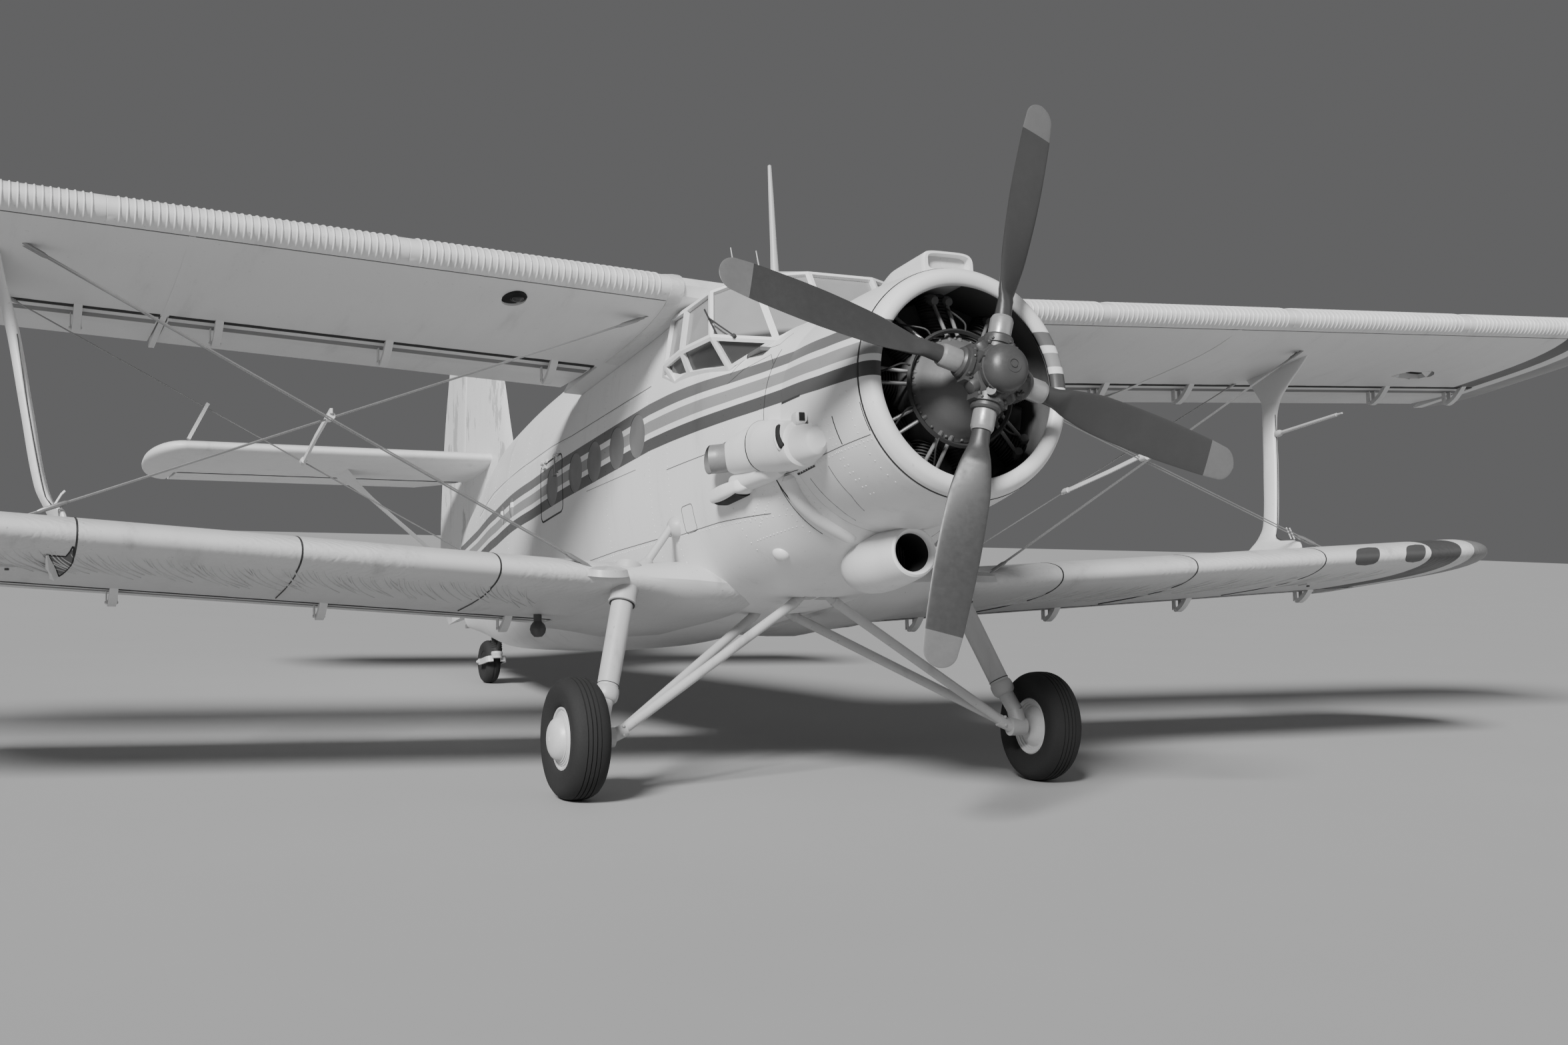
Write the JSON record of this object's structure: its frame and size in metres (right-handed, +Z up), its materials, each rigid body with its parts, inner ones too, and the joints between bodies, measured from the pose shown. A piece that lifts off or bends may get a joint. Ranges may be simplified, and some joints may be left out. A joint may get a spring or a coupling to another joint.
{
  "type": "single engine utility biplane",
  "caption": "Large parked radial-engined utility biplane, tail down on its wheels, with braced wings, a four-blade propeller, slats, flaps, doors and control surfaces that move.",
  "frame": {"origin": "on the ground under the middle of the whole aircraft's box, as it parks on its three wheels", "axes": "+Z up, the nose towards -Y, the port wing towards +X"},
  "size_m": [18.18, 12.7902, 4.4671],
  "materials": {
    "skin": "satin",
    "propeller_paint": "satin",
    "bare_metal": "satin",
    "engine_metal": "satin",
    "stay_wire": "satin",
    "tyre_rubber": "matte",
    "glazing": "gloss",
    "cabin_lining": "matte",
    "seat_cloth": "matte"
  },
  "bodies": {
    "airframe": {"nose_cowl": "skin", "engine_bay_panels": "skin", "radial_engine": "engine_metal", "firewall": "bare_metal", "carburettor_scoop": "skin", "oil_cooler_scoop": "skin", "exhaust_stack": "skin", "fuselage_cabin": "skin", "fuselage_tail": "skin", "cabin_glazing_port": "glazing", "cabin_glazing_starboard": "glazing", "cabin_floor": "bare_metal", "cockpit_floor": "bare_metal", "canopy_frame": "skin", "canopy_glass": "glazing", "instrument_panel": "cabin_lining", "pilot_seat_port": "seat_cloth", "pilot_seat_starboard": "seat_cloth", "upper_wing_centre": "skin", "upper_wing_port": "skin", "upper_wing_starboard": "skin", "lower_wing_port": "skin", "lower_wing_starboard": "skin", "interplane_strut_port": "skin", "interplane_strut_starboard": "skin", "flying_stay_port": "stay_wire", "flying_stay_starboard": "stay_wire", "landing_stay_port": "stay_wire", "landing_stay_starboard": "stay_wire", "main_leg_port": "skin", "main_leg_starboard": "skin", "belly_struts_port": "skin", "belly_struts_starboard": "skin", "tail_leg": "bare_metal", "fin": "skin", "tailplane_port": "skin", "tailplane_starboard": "skin", "tail_strut_port": "skin", "tail_strut_starboard": "skin"},
    "propeller_body": {"propeller": "propeller_paint", "propeller_dome": "bare_metal"},
    "main_wheel_port": {"main_tyre_port": "tyre_rubber", "main_hub_port": "bare_metal"},
    "main_wheel_starboard": {"main_tyre_starboard": "tyre_rubber", "main_hub_starboard": "bare_metal"},
    "tail_fork_body": {"tail_fork": "bare_metal"},
    "tail_wheel_body": {"tail_wheel": "tyre_rubber"},
    "rudder_body": {"rudder": "skin"},
    "elevator_port_body": {"elevator_port": "skin"},
    "elevator_starboard_body": {"elevator_starboard": "skin"},
    "aileron_port_body": {"aileron_port": "skin"},
    "aileron_starboard_body": {"aileron_starboard": "skin"},
    "upper_flap_port_body": {"upper_flap_port": "skin"},
    "upper_flap_starboard_body": {"upper_flap_starboard": "skin"},
    "lower_flap_port_body": {"lower_flap_port": "skin"},
    "lower_flap_starboard_body": {"lower_flap_starboard": "skin"},
    "slat_port_body": {"slat_port": "skin"},
    "slat_starboard_body": {"slat_starboard": "skin"},
    "cargo_door_body": {"cargo_door_port": "skin"},
    "emergency_exit_body": {"emergency_exit_starboard": "skin"}
  },
  "joints": [
    {"name": "propeller_spin", "type": "hinge", "parent": "airframe", "child": "propeller_body", "pos_m": [0, -6.065, 2.754], "axis": [0, -0.9842, 0.1771], "continuous": true},
    {"name": "main_wheel_port_spin", "type": "hinge", "parent": "airframe", "child": "main_wheel_port", "pos_m": [1.8, -3.9647, 0.3999], "axis": [1, 0, 0], "continuous": true},
    {"name": "main_wheel_starboard_spin", "type": "hinge", "parent": "airframe", "child": "main_wheel_starboard", "pos_m": [-1.8, -3.9647, 0.3999], "axis": [1, 0, 0], "continuous": true},
    {"name": "tail_fork_swivel", "type": "hinge", "parent": "airframe", "child": "tail_fork_body", "pos_m": [0, 3.9197, 0.2881], "axis": [0, 0.1771, 0.9842], "range_deg": [-80, 80]},
    {"name": "tail_wheel_spin", "type": "hinge", "parent": "tail_fork_body", "child": "tail_wheel_body", "pos_m": [0, 4.215, 0.235], "axis": [1, 0, 0], "continuous": true},
    {"name": "rudder_turn", "type": "hinge", "parent": "airframe", "child": "rudder_body", "pos_m": [0, 5.1675, 1.241], "axis": [0, 0.0543, 0.9985], "range_deg": [-28, 28]},
    {"name": "elevator_port_turn", "type": "hinge", "parent": "airframe", "child": "elevator_port_body", "pos_m": [0.168, 5.1886, 2.2837], "axis": [1, 0, 0], "range_deg": [-22, 42]},
    {"name": "elevator_starboard_turn", "type": "hinge", "parent": "airframe", "child": "elevator_starboard_body", "pos_m": [-0.168, 5.1886, 2.2837], "axis": [1, 0, 0], "range_deg": [-22, 42]},
    {"name": "aileron_port_turn", "type": "hinge", "parent": "airframe", "child": "aileron_port_body", "pos_m": [4.21, -1.6677, 3.2587], "axis": [0.9987, 0.009, 0.0499], "range_deg": [-22, 22]},
    {"name": "aileron_starboard_turn", "type": "hinge", "parent": "airframe", "child": "aileron_starboard_body", "pos_m": [-4.21, -1.6677, 3.2587], "axis": [0.9987, -0.009, -0.0499], "range_deg": [-22, 22]},
    {"name": "upper_flap_port_turn", "type": "hinge", "parent": "airframe", "child": "upper_flap_port_body", "pos_m": [1, -1.6966, 3.0982], "axis": [-0.9987, -0.009, -0.0499], "range_deg": [0, 40]},
    {"name": "upper_flap_starboard_turn", "type": "hinge", "parent": "airframe", "child": "upper_flap_starboard_body", "pos_m": [-1, -1.6966, 3.0982], "axis": [-0.9987, 0.009, 0.0499], "range_deg": [0, 40]},
    {"name": "lower_flap_port_turn", "type": "hinge", "parent": "airframe", "child": "lower_flap_port_body", "pos_m": [1.42, -2.1067, 1.1336], "axis": [-0.9979, -0.0114, -0.0633], "range_deg": [0, 40]},
    {"name": "lower_flap_starboard_turn", "type": "hinge", "parent": "airframe", "child": "lower_flap_starboard_body", "pos_m": [-1.42, -2.1067, 1.1336], "axis": [-0.9979, 0.0114, 0.0633], "range_deg": [0, 40]},
    {"name": "slat_port_slide", "type": "slide", "parent": "airframe", "child": "slat_port_body", "axis": [0, -0.9842, 0.1771], "range_m": [0, 0.08]},
    {"name": "slat_starboard_slide", "type": "slide", "parent": "airframe", "child": "slat_starboard_body", "axis": [0, -0.9842, 0.1771], "range_m": [0, 0.08]},
    {"name": "cargo_door_turn", "type": "hinge", "parent": "airframe", "child": "cargo_door_body", "pos_m": [0.896, -0.4206, 2.5574], "axis": [0, -0.9842, 0.1771], "range_deg": [0, 85]},
    {"name": "emergency_exit_turn", "type": "hinge", "parent": "airframe", "child": "emergency_exit_body", "pos_m": [-0.898, -0.4819, 2.3296], "axis": [0, 0.9842, -0.1771], "range_deg": [0, 80]}
  ],
  "couplings": [
    {"joint": "elevator_starboard_turn", "follows": "elevator_port_turn", "ratio": 1},
    {"joint": "aileron_starboard_turn", "follows": "aileron_port_turn", "ratio": -1},
    {"joint": "upper_flap_starboard_turn", "follows": "upper_flap_port_turn", "ratio": 1},
    {"joint": "lower_flap_port_turn", "follows": "upper_flap_port_turn", "ratio": 1},
    {"joint": "lower_flap_starboard_turn", "follows": "upper_flap_port_turn", "ratio": 1}
  ]
}
